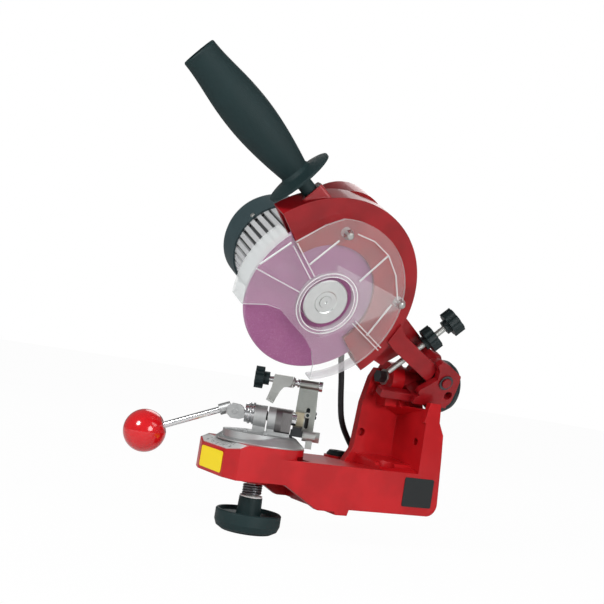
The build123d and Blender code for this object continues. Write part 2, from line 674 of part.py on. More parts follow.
# ---------------------------------------------------------------- head casting
depth_tip = (105.6, -63.0)
depth_dir = (0.596, 0.803)
depth_s = 1.0
depth_axis = Axis(head.from_local_coords((depth_tip[0], depth_tip[1], depth_s)),
                  Vector(0, 1, 0) * depth_dir[0] + upward * depth_dir[1])
lean = Vector(0, 1, 0) * -0.789 + upward * 0.517 + normal * -0.331
socket_point = head.from_local_coords((-44, 89, -8))
grip_axis = Axis(socket_point, lean)
bearing_radius = 13.0
screw_places = [(-3.1, 64.9), (78.1, 11.9)]
with BuildPart() as head_casting:
    # handle socket, cleared on the inside of the shroud
    socket_plane = Plane(origin=grip_axis.position, x_dir=normal.cross(lean), z_dir=lean)
    with BuildSketch(socket_plane.offset(-15)) as socket:
        RectangleRounded(22, 18, 3)
    extrude(socket.sketch, amount=15)
    disc(wheel_axis, shroud_radius - shroud_wall / 2, shroud_back - 5, shroud_front + 5, Mode.SUBTRACT)
    sector(head.offset(shroud_back), 12, shroud_radius, shroud_start, shroud_end, 5)
    sector(head.offset(shroud_back), shroud_radius - shroud_wall, shroud_radius, shroud_start, shroud_end,
           shroud_front - shroud_back)
    sector(head.offset(shroud_front - 3), 52, shroud_radius, shroud_start, shroud_end, 3, screw_places)
    sector(head.offset(shroud_back), 86, shroud_radius, shroud_end, shroud_end + 3, shroud_front - shroud_back)
    slab(head.offset(shroud_back), [
        (84, -20), (92, -10), (109, -10), (135, -27), (160, -42), (169, -50), (166, -60), (158, -64),
        (121, -46), (108, -58), (104, -63), (90, -58), (72, -46)], 6)
    # band with the depth screw hole
    slab(head.offset(shroud_back), [(92, -10), (103, -21), (157, -48), (150, -64), (96, -37), (86, -30)],
         near_inner - 0.5 - shroud_back)
    # hinge eye
    bar(pin_plane.offset(shroud_back), 13, 1 - shroud_back)
    bar(pin_plane.offset(1), 12, 10, Mode.SUBTRACT)
    # motor flange and the round housing above it
    disc(wheel_axis, 50, shroud_back - 6, shroud_back + 1)
    sleeve(wheel_axis, 44, 50, -40, shroud_back)
    with BuildSketch(head.offset(-40)) as hump:
        with Locations((8.5, 56.5)):
            Circle(41)
    extrude(hump.sketch, amount=40 + shroud_back + 1)
    disc(wheel_axis, 44, -41, shroud_back - 6, Mode.SUBTRACT)
    disc(wheel_axis, bearing_radius + 3.5, -36, shroud_back)
    disc(wheel_axis, bearing_radius + slip, -37, -26, Mode.SUBTRACT)
    disc(wheel_axis, shaft_radius + 2, -37, 0, Mode.SUBTRACT)
    disc(grip_axis, 4 + slip, -12, 5, Mode.SUBTRACT)
    disc(grip_axis, 7.3, 0, 12, Mode.SUBTRACT)
    bar(pin_plane.offset(-40), pin_radius + slip, 80, Mode.SUBTRACT)
    disc(depth_axis, depth_radius + slip, 0, 90, Mode.SUBTRACT)
save(head_casting, "head_casting")

cap_screw_angles = (145, 235, 325, 55)


def cap_screw(angle):
    spot = polar(cap_radius, angle)
    radial = Vector(0, 1, 0) * cos(radians(angle)) + upward * sin(radians(angle))
    return Axis(head.from_local_coords((spot[0], spot[1], -101)), radial)


# ---------------------------------------------------------------- clear guard
guard_back = guard_front - guard_thick
skirt_back = 3.0      # the lower skirt stays clear of the chain stop when the head comes down
rib_lines = [
    ((-21.5, 21.9), (-49.7, 47.9)), ((-24.5, 19.0), (-52.5, 44.9)), ((-30.8, 31.7), (-11.8, 59.0)),
    ((24.1, 26.1), (41.9, 55.9)), ((-28.6, 4.7), (-77.9, 18.2)), ((-76.5, 22.5), (-55.5, 47.6)),
    ((35.1, -14.9), (73.3, -36.4)), ((36.8, -12.0), (75.0, -33.4)), ((54.8, -24.0), (66.7, 10.8)),
    ((3.5, 68.5), (22.5, 65.5)), ((22.5, 65.5), (41.9, 55.9)), ((41.9, 55.9), (58, 39)), ((58, 39), (70.5, 17))]
with BuildPart() as guard:
    with BuildSketch(head.offset(guard_back)) as guard_plate:
        with BuildLine():
            ThreePointArc(polar(79.5, -52), polar(79.5, 24), polar(79.5, 100))
            Polyline(polar(79.5, 100), (-29, 69), (-51, 48), polar(79.5, 137))
            ThreePointArc(polar(79.5, 137), polar(79.5, 165), polar(79.5, 192))
            Polyline(polar(79.5, 192), (-54, -13), (-41, -15), (-4, -39), (7, -50), (14, -64), polar(79.5, -78))
            ThreePointArc(polar(79.5, -78), polar(79.5, -65), polar(79.5, -52))
        make_face()
        Circle(guard_ring - 4, mode=Mode.SUBTRACT)
    extrude(guard_plate.sketch, amount=guard_thick)
    sleeve(wheel_axis, guard_ring - 4, guard_ring, guard_back, guard_front + 3.5)
    sector(head.offset(-10), guard_radius - 2, guard_radius, 192, 138, guard_back + 11)
    sector(head.offset(skirt_back), guard_radius - 2, guard_radius, -44, -78, guard_back - skirt_back + 1)
    with BuildSketch(head.offset(shroud_front)) as standoffs:
        with Locations(*screw_places):
            Circle(5)
    extrude(standoffs.sketch, amount=guard_back - shroud_front + 0.5)
    for start, end in rib_lines:
        span = hypot(end[0] - start[0], end[1] - start[1])
        with BuildSketch(head.offset(guard_front - 0.5)) as rib:
            with Locations(Location(((start[0] + end[0]) / 2, (start[1] + end[1]) / 2, 0),
                                    (0, 0, degrees(atan2(end[1] - start[1], end[0] - start[0]))))):
                Rectangle(span, 1.1)
        extrude(rib.sketch, amount=2.0)
    with BuildSketch(head.offset(shroud_front - 1)) as guard_holes:
        with Locations(*screw_places):
            Circle(1.5 + slip)
    extrude(guard_holes.sketch, amount=20, mode=Mode.SUBTRACT)
save(guard, "guard")

with BuildPart() as pan_screws:
    for place in screw_places:
        screw = Axis(head.from_local_coords((place[0], place[1], 0)), normal)
        disc(screw, 1.5, shroud_front - 3, guard_front + 0.1)
        lathe(screw, [(0, guard_front), (3.4, guard_front), (3.2, guard_front + 1.6), (2.2, guard_front + 2.4),
                      (0, guard_front + 2.4)])
    # four more hold the motor cap
    for angle in cap_screw_angles:
        lathe(cap_screw(angle), [(0, -3), (1.2, -3), (1.2, 0), (2.4, 0), (2.2, 1.2), (0, 1.6)])
save(pan_screws, "pan_screws")

# ---------------------------------------------------------------- wheel and spindle
half_wheel = wheel_thick / 2
with BuildPart() as grinding_wheel:
    lathe(wheel_axis, [
        (shaft_radius + slip, -half_wheel), (wheel_radius - 1, -half_wheel), (wheel_radius, -half_wheel + 1),
        (wheel_radius, half_wheel - 1), (wheel_radius - 1, half_wheel), (shaft_radius + slip, half_wheel)])
save(grinding_wheel, "grinding_wheel")

flange_face = 15.0
with BuildPart() as outer_flange:
    lathe(wheel_axis, [
        (shaft_radius + slip, half_wheel), (flange_radius, half_wheel), (flange_radius, flange_face - 1),
        (flange_radius - 1, flange_face), (11, flange_face), (10, flange_face - 0.8), (6.2, flange_face - 0.8),
        (2.2, flange_face - 2.5), (2.2, 11.9), (shaft_radius + slip, 11.9)])
save(outer_flange, "outer_flange")

with BuildPart() as wheel_screw:
    lathe(wheel_axis, [(0, 6), (2, 6), (2, flange_face - 2.5), (5.6, flange_face - 0.9), (5.6, flange_face - 0.2),
                       (1.4, flange_face - 0.2), (1.4, flange_face - 1.6), (0, flange_face - 1.6)])
save(wheel_screw, "wheel_screw")

with BuildPart() as motor_shaft:
    # shaft with its shoulder and the inner flange behind the wheel
    lathe(wheel_axis, [
        (0, -123), (shaft_radius, -123), (shaft_radius, -25.8), (shaft_radius + 1.2, -25.8),
        (shaft_radius + 1.2, -7.5), (9, -7.5), (flange_radius, -4.6), (flange_radius, -half_wheel),
        (shaft_radius, -half_wheel), (shaft_radius, 11.8), (2 + slip, 11.8), (2 + slip, 5.5), (0, 5.5)])
save(motor_shaft, "motor_shaft")

with BuildPart() as ball_bearings:
    sleeve(wheel_axis, shaft_radius + slip, bearing_radius, -36, -26)
    sleeve(wheel_axis, shaft_radius + slip, bearing_radius, -106, -97)
save(ball_bearings, "ball_bearings")

with BuildPart() as rotor_core:
    sleeve(wheel_axis, shaft_radius + slip, 22, -92, -48)
    sleeve(wheel_axis, 8, 18, -94.5, -45.5)
save(rotor_core, "rotor_core")

with BuildPart() as stator:
    sleeve(wheel_axis, 22.6, 39, -90, -50)
    sleeve(wheel_axis, 25, 35, -93.5, -46.5)
save(stator, "stator")

fin_count = 36
with BuildPart() as motor_body:
    sleeve(wheel_axis, 39 + slip, 42, -104, -40.05)
    sleeve(wheel_axis, 41, motor_radius, -104, -100)
    sleeve(wheel_axis, 41, motor_radius, -44, -40.05)
    with BuildSketch(head.offset(-102)) as fins:
        with PolarLocations(43.5, fin_count):
            Rectangle(5.0, 4.8)
    extrude(fins.sketch, amount=60)
    # rear bearing spider
    disc(wheel_axis, 41, -104, -101)
    sleeve(wheel_axis, bearing_radius, bearing_radius + 3, -106, -97)
    disc(wheel_axis, bearing_radius + slip, -107, -96, Mode.SUBTRACT)
    for angle in cap_screw_angles:
        disc(cap_screw(angle), 1.2 + slip, -3.1, 2, Mode.SUBTRACT)
save(motor_body, "motor_body")

with BuildPart() as fan:
    sleeve(wheel_axis, shaft_radius + slip, 12, -121, -109)
    sleeve(wheel_axis, 11, 38, -111, -109)
    with BuildSketch(head.offset(-121)) as blades:
        with PolarLocations(25, 9):
            Rectangle(27, 1.6)
    extrude(blades.sketch, amount=11)
save(fan, "fan")

with BuildPart() as motor_cap:
    lathe(wheel_axis, [
        (cap_radius - 2.5, -104.05), (cap_radius, -104.05), (cap_radius, -126), (cap_radius - 3, -132),
        (cap_radius - 10, -135), (0, -135), (0, -132.5), (cap_radius - 11, -132.5), (cap_radius - 5, -130),
        (cap_radius - 2.5, -125)])
    sleeve(wheel_axis, motor_radius + slip, cap_radius, -104.1, -98)
    with BuildSketch(head.offset(-136)) as vents:
        with PolarLocations(26, 16):
            SlotOverall(20, 3)
    extrude(vents.sketch, amount=5, mode=Mode.SUBTRACT)
    for angle in cap_screw_angles:
        disc(cap_screw(angle), 1.2 + slip, -3.1, 2, Mode.SUBTRACT)
save(motor_cap, "motor_cap")

# ---------------------------------------------------------------- switch box and cord
box_left = 66.0
box_right = 102.0
box_low = -46.0
box_high = -16.0
box_back = -76.0
gland_v = 88.0
gland_s = -64.5
gland_axis = Axis(head.from_local_coords((gland_v, box_low, gland_s)), upward * -1)
switch_v = 84.0
switch_w = -31.0
with BuildPart() as switch_housing:
    with BuildSketch(head.offset(box_back)) as box:
        with Locations(((box_left + box_right) / 2, (box_low + box_high) / 2)):
            RectangleRounded(box_right - box_left, box_high - box_low, 3)
    extrude(box.sketch, amount=shroud_back - box_back)
    with BuildSketch(head.offset(box_back + 3)) as inside:
        with Locations(((box_left + box_right) / 2, (box_low + box_high) / 2)):
            Rectangle(box_right - box_left - 6, box_high - box_low - 6)
    extrude(inside.sketch, amount=shroud_back - box_back - 3.0, mode=Mode.SUBTRACT)
    disc(gland_axis, 5 + slip, -5, 5, Mode.SUBTRACT)
    with BuildSketch(head.offset(box_back - 1)) as window:
        with Locations((switch_v, switch_w)):
            Rectangle(21, 14)
    extrude(window.sketch, amount=6, mode=Mode.SUBTRACT)
save(switch_housing, "switch_housing")

with BuildPart() as switch_body:
    with BuildSketch(head.offset(box_back - 1.5)) as bezel:
        with Locations((switch_v, switch_w)):
            Rectangle(25, 18)
            Rectangle(19, 12, mode=Mode.SUBTRACT)
    extrude(bezel.sketch, amount=1.5)
    with BuildSketch(head.offset(box_back)) as throat:
        with Locations((switch_v, switch_w)):
            Rectangle(20.8, 13.8)
            Rectangle(19, 12, mode=Mode.SUBTRACT)
    extrude(throat.sketch, amount=12)
    with BuildSketch(head.offset(box_back + 10)) as bottom:
        with Locations((switch_v, switch_w)):
            Rectangle(20.8, 13.8)
    extrude(bottom.sketch, amount=3)
save(switch_body, "switch_body")

rocker_angle = 10.0
rocker_centre = head.from_local_coords((switch_v, switch_w, box_back + 3.0))
with BuildPart() as switch_rocker:
    rocker_plane = Plane(origin=rocker_centre, x_dir=(0, 1, 0), z_dir=upward * -1)
    rocker_points = [(-8.2, 2), (-8.6, -5.2), (0, -4.2), (8.6, -5.2), (8.2, 2), (2.5, 6.0), (-2.5, 6.0)]
    turned = [(x * cos(radians(rocker_angle)) + y * sin(radians(rocker_angle)),
               y * cos(radians(rocker_angle)) - x * sin(radians(rocker_angle))) for x, y in rocker_points]
    slab(rocker_plane.offset(-5.7), turned, 11.4)
save(switch_rocker, "switch_rocker")

with BuildPart() as cord_gland:
    lathe(gland_axis, [
        (cord_radius + slip, -2.9), (4.9, -2.9), (4.9, 0), (7, 0), (7, 4), (5.6, 5), (5.2, 12), (4.4, 20),
        (cord_radius + slip, 20)])
save(cord_gland, "cord_gland")

gland_end = gland_axis.position + gland_axis.direction * 20.0
coil_axis = Axis((coil_x, coil_y - reach, 0), (0, 0, 1))
route = [
    (gland_end.X, gland_end.Y + reach, gland_end.Z), (-37.6, 97.0, 143), (-38, 101.9, 124), (-41, 107.6, 97),
    (-43.5, 114.0, 75), (-50, 132.0, 55), (-53, 152.0, 35), (-60, 167.0, 17), (-74, 176.5, 6.5),
    (coil_x + 1, coil_y - coil_radius - cord_radius, cord_radius + 0.04)]


def run_lengths(points):
    return [(Vector(*b) - Vector(*a)).length for a, b in zip(points, points[1:])]


def tangent_radii(points):
    spans = run_lengths(points)
    radii = []
    for index in range(1, len(points) - 1):
        before = (Vector(*points[index]) - Vector(*points[index - 1])).normalized()
        after = (Vector(*points[index + 1]) - Vector(*points[index])).normalized()
        half_turn = radians(before.get_angle(after)) / 2
        radii.append(0.45 * min(spans[index - 1], spans[index]) / tan(half_turn))
    return radii


cord_radii = tangent_radii(route)
print("cord arc radii", [round(r, 1) for r in cord_radii])
world_route = [(x, y - reach, z) for x, y, z in route]
with BuildPart() as cord:
    with BuildLine() as cord_line:
        FilletPolyline(*world_route, radius=cord_radii)
    cord_path = cord_line.wires()[0]
    with BuildSketch(Plane(origin=cord_path @ 0, z_dir=cord_path % 0)):
        Circle(cord_radius)
    sweep(path=cord_path)
print("cord length", round(cord_path.length, 1), "volume over section x length",
      round(cord.part.volume / (pi * cord_radius ** 2 * cord_path.length), 4))
save(cord, "cord")

coil_rows = 3
lead_length = 30.0
coil_base = 0.02
row_pitch = 2 * cord_radius
coil_outer = coil_radius + row_pitch
coil_inner = coil_radius - row_pitch
bundle = [(coil_inner + 1.5, coil_base), (coil_radius - 0.8, coil_base), (coil_radius, coil_base + 1),
          (coil_radius + 0.8, coil_base), (coil_outer - 1.5, coil_base)]
for row in range(coil_rows):
    middle = coil_base + cord_radius + row * row_pitch
    bundle += [(coil_outer, middle - 1.5), (coil_outer, middle + 1.5), (coil_outer - 1.5, middle + cord_radius)]
coil_top = coil_base + coil_rows * row_pitch
bundle += [(coil_radius + 0.8, coil_top), (coil_radius, coil_top - 1), (coil_radius - 0.8, coil_top),
           (coil_inner + 1.5, coil_top)]
for row in reversed(range(coil_rows)):
    middle = coil_base + cord_radius + row * row_pitch
    bundle += [(coil_inner, middle + 1.5), (coil_inner, middle - 1.5)]
    if row:
        bundle.append((coil_inner + 1.5, middle - cord_radius))
with BuildPart() as cord_coil:
    lathe(coil_axis, bundle)
    # the last turn leaves the top row for the plug
    lead = Plane(origin=(coil_x - coil_radius - cord_radius, coil_y - reach, coil_top - cord_radius),
                 x_dir=(1, 0, 0), z_dir=(0, 1, 0))
    bar(lead, cord_radius - 0.05, lead_length)
save(cord_coil, "cord_coil")

with BuildPart() as plug:
    body_plane = lead.offset(lead_length)
    with BuildSketch(body_plane) as small_end:
        Circle(5)
    with BuildSketch(body_plane.offset(26)) as big_end:
        RectangleRounded(32, 28, 11)
    loft([small_end.sketch.face(), big_end.sketch.face()])
    extrude(big_end.sketch, amount=14)
    # moulded-in contact pins
    with BuildSketch(body_plane.offset(39)) as pins:
        with GridLocations(19, 1, 2, 1):
            Circle(2.4)
    extrude(pins.sketch, amount=20)
save(plug, "plug")

# ---------------------------------------------------------------- handle
with BuildPart() as handle_grip:
    neck = 6.8
    with BuildSketch(Plane(origin=grip_axis.position, x_dir=normal.cross(lean),
                           z_dir=normal.cross(lean).cross(lean))) as grip_half:
        with BuildLine():
            Line((4, 0), (neck, 0))
            Line((neck, 0), (neck, 12.5))
            Line((neck, 12.5), (31, 14.3))
            Line((31, 14.3), (31, 16.3))
            Line((31, 16.3), (15, 19.5))
            Line((15, 19.5), (12.8, 23))
            Spline((12.8, 23), (16.7, 45), (grip_radius, 82), (18.5, 112), (15.6, 140), (15.4, 148))
            Line((15.4, 148), (14.6, 149))
            Line((14.6, 149), (12.6, 149))
            Line((12.6, 149), (12.6, 141))
            Line((12.6, 141), (0, 141))
            Line((0, 141), (0, -11.5))
            Line((0, -11.5), (4, -11.5))
            Line((4, -11.5), (4, 0))
        make_face()
    revolve(grip_half.sketch, axis=grip_axis)
save(handle_grip, "handle_grip")

# ---------------------------------------------------------------- depth stop
with BuildPart() as depth_screw:
    disc(depth_axis, depth_radius, 0, 78)
save(depth_screw, "depth_screw")

depth_plane = Plane(origin=depth_axis.position, z_dir=depth_axis.direction)
band_top = 42.0
with BuildPart() as depth_lock_knob:
    bar(depth_plane.offset(band_top + 1.5), 7, 4)
    lobes(depth_plane.offset(band_top + 5.5), 12.5, 8, 1.5, 10, 0)
    disc(depth_axis, depth_radius + slip, 30, 70, Mode.SUBTRACT)
save(depth_lock_knob, "depth_lock_knob")

with BuildPart() as depth_end_knob:
    bar(depth_plane.offset(69), 7, 4.5)
    lobes(depth_plane.offset(73.5), 13, 8, 1.5, 11, 0)
    disc(depth_axis, depth_radius + slip, 60, 78.1, Mode.SUBTRACT)
save(depth_end_knob, "depth_end_knob")
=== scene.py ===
import bpy
from math import atan2, cos, degrees, pi, radians, sin
from mathutils import Matrix, Vector


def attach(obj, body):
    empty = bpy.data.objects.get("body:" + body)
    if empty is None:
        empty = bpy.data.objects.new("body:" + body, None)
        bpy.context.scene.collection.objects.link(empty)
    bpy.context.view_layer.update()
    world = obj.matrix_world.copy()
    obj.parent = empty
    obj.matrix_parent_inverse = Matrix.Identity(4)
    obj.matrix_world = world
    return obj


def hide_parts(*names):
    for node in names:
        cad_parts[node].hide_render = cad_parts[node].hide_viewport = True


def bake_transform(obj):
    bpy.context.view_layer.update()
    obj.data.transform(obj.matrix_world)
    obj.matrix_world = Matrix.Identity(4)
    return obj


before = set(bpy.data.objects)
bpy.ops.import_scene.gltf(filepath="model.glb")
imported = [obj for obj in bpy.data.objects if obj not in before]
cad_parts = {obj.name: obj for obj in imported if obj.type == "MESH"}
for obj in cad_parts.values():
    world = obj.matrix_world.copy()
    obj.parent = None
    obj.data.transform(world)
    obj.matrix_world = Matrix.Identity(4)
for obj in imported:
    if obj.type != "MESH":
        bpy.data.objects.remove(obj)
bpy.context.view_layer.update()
bpy.ops.object.select_all(action="DESELECT")
print("frame loaded")

# places shared by several pieces, in metres
tableCentre = Vector((0, -0.130, 0))
viseCentre = Vector((0, -0.130, 0.070))
wheelCentre = Vector((0.053, -0.123, 0.191))
wheelNormal = Vector((0.9025853, 0, -0.4305111))
headUp = Vector((0.4305111, 0, 0.9025853))
viseAlong = Vector((0.5, 0.8660254, 0))
hingeCentre = wheelCentre + Vector((0, 0.165, 0)) + headUp * -0.058
perMetre = 1000  # the shaders measure in millimetres


# camera and light
view = {"place": (0.8607, -0.6031, 0.1260), "ahead": (-0.866, 0.497, 0.060), "up": (-0.028, -0.167, 0.986),
        "lens": 62.4, "sensor": 36, "nearest": 0.01}
bpy.ops.object.camera_add(location=view["place"])
camera = bpy.context.object
camera.name = "mainCamera"
ahead = Vector(view["ahead"]).normalized()
right = ahead.cross(Vector(view["up"])).normalized()
over = right.cross(ahead)
camera.rotation_euler = Matrix((right, over, -ahead)).transposed().to_euler()
camera.data.lens = view["lens"]
camera.data.sensor_width = view["sensor"]
camera.data.clip_start = view["nearest"]
bpy.context.scene.camera = camera
bpy.context.scene.view_settings.view_transform = "Standard"

lamps = [
    {"name": "keyLamp", "place": (0.35, -1.2, 0.75), "target": (0, -0.05, 0.13), "size": 0.45, "power": 11.0},
    {"name": "sideLamp", "place": (0.9, 0.55, 1.1), "target": (0, -0.05, 0.15), "size": 0.8, "power": 4.5},
    {"name": "fillLamp", "place": (1.25, -0.05, 0.42), "target": (0, -0.03, 0.13), "size": 0.55, "power": 7.5},
    {"name": "backLamp", "place": (-1.0, 0.5, 0.9), "target": (0, -0.05, 0.15), "size": 0.8, "power": 3.5},
]
for lamp in lamps:
    bpy.ops.object.light_add(type="AREA", location=lamp["place"])
    light = bpy.context.object
    light.name = lamp["name"]
    light.data.shape = "DISK"
    light.data.size = lamp["size"]
    light.data.energy = lamp["power"]
    aim = Vector(lamp["target"]) - Vector(lamp["place"])
    light.rotation_euler = aim.to_track_quat("-Z", "Y").to_euler()
print("camera and lamps")


# shader helpers
class Wire:
    # one shader output that can be used in sums
    def __init__(self, tree, socket):
        self.tree = tree
        self.socket = socket

    def __add__(self, other):
        return self.tree.math("ADD", self, other)

    def __radd__(self, other):
        return self.tree.math("ADD", other, self)

    def __sub__(self, other):
        return self.tree.math("SUBTRACT", self, other)

    def __rsub__(self, other):
        return self.tree.math("SUBTRACT", other, self)

    def __mul__(self, other):
        return self.tree.math("MULTIPLY", self, other)

    def __rmul__(self, other):
        return self.tree.math("MULTIPLY", other, self)

    def __lt__(self, other):
        return self.tree.math("LESS_THAN", self, other)

    def __gt__(self, other):
        return self.tree.math("GREATER_THAN", self, other)

    def __abs__(self):
        return self.tree.math("ABSOLUTE", self)

    def between(self, low, high):
        # 0 below low, 1 above high, smooth in the middle
        return self.tree.node("MapRange", {"interpolation_type": "SMOOTHSTEP"},
                              {0: self, "From Min": low, "From Max": high})


mixSockets = {"share": 0, "first": 6, "second": 7, "result": 2}  # a Mix node's sockets for colours


class Finish:
    # a material with its node tree
    def __init__(self, name):
        self.material = bpy.data.materials.new(name)
        self.material.use_nodes = True
        self.nodes = self.material.node_tree.nodes
        self.links = self.material.node_tree.links
        self.nodes.clear()

    def node(self, kind, settings=None, sockets=None, out=0):
        made = self.nodes.new("ShaderNode" + kind)
        for key, value in (settings or {}).items():
            setattr(made, key, value)
        for key, value in (sockets or {}).items():
            if isinstance(value, Wire):
                self.links.new(value.socket, made.inputs[key])
            else:
                made.inputs[key].default_value = value
        return Wire(self, made.outputs[out])

    def math(self, operation, *values):
        return self.node("Math", {"operation": operation}, dict(enumerate(values)))

    def vector(self, operation, *values, out=0):
        return self.node("VectorMath", {"operation": operation}, dict(enumerate(values)), out)

    def place(self, stretch=(1, 1, 1)):
        # object coordinates in millimetres
        spot = self.node("TexCoord", out="Object")
        return self.vector("MULTIPLY", spot, [perMetre * share for share in stretch])

    def noise(self, spot, scale, detail=2.0, rough=0.5):
        return self.node("TexNoise", None,
                         {"Vector": spot, "Scale": scale, "Detail": detail, "Roughness": rough})

    def lineNoise(self, along, scale):
        return self.node("TexNoise", {"noise_dimensions": "1D"}, {"W": along, "Scale": scale, "Detail": 1.0})

    def dot(self, spot, direction):
        return self.vector("DOT_PRODUCT", spot, tuple(direction), out="Value")

    def aboutAxis(self, spot, centre, direction):
        # distance along an axis and away from it, millimetres
        arm = self.vector("SUBTRACT", spot, [perMetre * part for part in centre])
        along = self.dot(arm, direction)
        lengthwise = self.node("VectorMath", {"operation": "SCALE"}, {0: tuple(direction), "Scale": along})
        away = self.vector("SUBTRACT", arm, lengthwise)
        return along, self.vector("LENGTH", away, out="Value")

    def mix(self, share, first, second):
        # colour mix; colours are linear triples or wires
        values = {mixSockets["share"]: share}
        for key, tint in (("first", first), ("second", second)):
            values[mixSockets[key]] = tint if isinstance(tint, Wire) else (*tint, 1)
        return self.node("Mix", {"data_type": "RGBA"}, values, mixSockets["result"])

    def softEdge(self, radius):
        return self.node("Bevel", {"samples": 4}, {"Radius": radius})

    def bump(self, height, strength, depth, normal=None):
        sockets = {"Height": height, "Strength": strength, "Distance": depth}
        if normal:
            sockets["Normal"] = normal
        return self.node("Bump", None, sockets)

    def facing(self, blend):
        return self.node("LayerWeight", None, {"Blend": blend}, out="Facing")

    def done(self, shader):
        end = self.nodes.new("ShaderNodeOutputMaterial")
        self.links.new(shader.socket, end.inputs["Surface"])
        return self.material

    def surface(self, sockets):
        return self.done(self.node("BsdfPrincipled", None, sockets))


# finishes; scales are per millimetre, depths and edges in metres
def redEnamel(name, deep, bright):
    paint = Finish(name)
    spot = paint.place()
    cloud = paint.noise(spot, scale=0.035, detail=3)
    peel = paint.noise(spot, scale=0.7)
    dust = paint.noise(spot, scale=4.0, detail=3, rough=0.7)
    tint = paint.mix(cloud.between(0.35, 0.7), deep, bright)
    tint = paint.mix(dust.between(0.62, 0.8) * 0.25, tint, [part * 0.55 for part in deep])
    normal = paint.bump(peel, strength=0.12, depth=0.0004, normal=paint.softEdge(0.0009))
    normal = paint.bump(dust, strength=0.05, depth=0.0002, normal=normal)
    return paint.surface({"Base Color": tint, "Roughness": 0.34 + cloud * 0.12, "Coat Weight": 0.3,
                          "Coat Roughness": 0.07, "Specular IOR Level": 0.25, "Normal": normal})


def metal(name, deep, bright, rough, grain=(1, 1, 1), strength=0.1):
    paint = Finish(name)
    spot = paint.place()
    streak = paint.noise(paint.place(grain), scale=1.3, detail=3, rough=0.6)
    cloud = paint.noise(spot, scale=0.09)
    tint = paint.mix(streak * 0.6 + cloud * 0.4, deep, bright)
    normal = paint.bump(streak, strength, depth=0.0003, normal=paint.softEdge(0.0005))
    return paint.surface({"Base Color": tint, "Metallic": 1.0, "Roughness": rough + streak * 0.14 - 0.05,
                          "Normal": normal})


def turned(name, centre, axis, deep, bright, rough):
    # lathe marks round an axis
    paint = Finish(name)
    spot = paint.place()
    along, away = paint.aboutAxis(spot, centre, axis)
    mark = paint.lineNoise(away + along * 0.73, scale=2.2)
    cloud = paint.noise(spot, scale=0.12)
    tint = paint.mix(mark * 0.5 + cloud * 0.5, deep, bright)
    normal = paint.bump(mark, strength=0.12, depth=0.0003, normal=paint.softEdge(0.0004))
    return paint.surface({"Base Color": tint, "Metallic": 1.0, "Roughness": rough + mark * 0.1,
                          "Normal": normal})


def mouldedPlastic(name, deep, bright, rough, grainScale=1.6, strength=0.25, coat=0.0):
    paint = Finish(name)
    spot = paint.place()
    cloud = paint.noise(spot, scale=0.06, detail=3)
    grain = paint.noise(spot, grainScale, detail=3, rough=0.65)
    tint = paint.mix(cloud * 0.6 + grain * 0.4, deep, bright)
    normal = paint.bump(grain, strength, depth=0.0003, normal=paint.softEdge(0.0008))
    return paint.surface({"Base Color": tint, "Roughness": rough + cloud * 0.12 - 0.06,
                          "Specular IOR Level": 0.3, "Coat Weight": coat, "Coat Roughness": 0.15,
                          "Normal": normal})


# the rim is in millimetres from the wheel's middle
gritLook = {"deep": (0.22, 0.060, 0.155), "pale": (0.44, 0.155, 0.34), "cloud": (0.40, 0.15, 0.29),
            "grain": (0.62, 0.4, 0.55), "worn": (0.6, 0.42, 0.55), "rim": (70.5, 72.5)}


def abrasive(name, look):
    paint = Finish(name)
    spot = paint.place()
    away = paint.aboutAxis(spot, wheelCentre, wheelNormal)[1]
    grit = paint.node("TexVoronoi", None, {"Vector": spot, "Scale": 1.5})
    fine = paint.noise(spot, scale=2.4, detail=4, rough=0.8)
    cloud = paint.noise(spot, scale=0.05)
    tint = paint.mix(fine.between(0.3, 0.7), look["deep"], look["pale"])
    tint = paint.mix(cloud.between(0.4, 0.7) * 0.3, tint, look["cloud"])
    tint = paint.mix(grit.between(0.62, 0.9) * 0.35, tint, look["grain"])
    tint = paint.mix(away.between(*look["rim"]) * 0.25, tint, look["worn"])
    normal = paint.bump(grit * 0.5 + fine, strength=0.7, depth=0.0006)
    return paint.surface({"Base Color": tint, "Roughness": 0.86 + fine * 0.1, "Normal": normal})


# millimetres from the wheel's middle, along its axis for ribFace and ringFace
# the wall tint is a painted grey shade on the guard's walls, and rimLines are the radii of painted highlight
# lines
guardLook = {"ribFace": (14.62, 14.75), "ringInside": (25.0, 25.6), "ringOutside": (30.2, 30.6),
             "rimLines": (26.4, 29.6), "rimHalf": 0.4, "ringFace": (17.5, 17.9), "rearScrew": (78.1, 11.9),
             "webStart": (0.0, 6.0), "webTaper": 0.42, "webSide": (37.5, 38.2),
             "pane": (0.97, 0.98, 0.98), "wall": (0.74, 0.78, 0.78)}


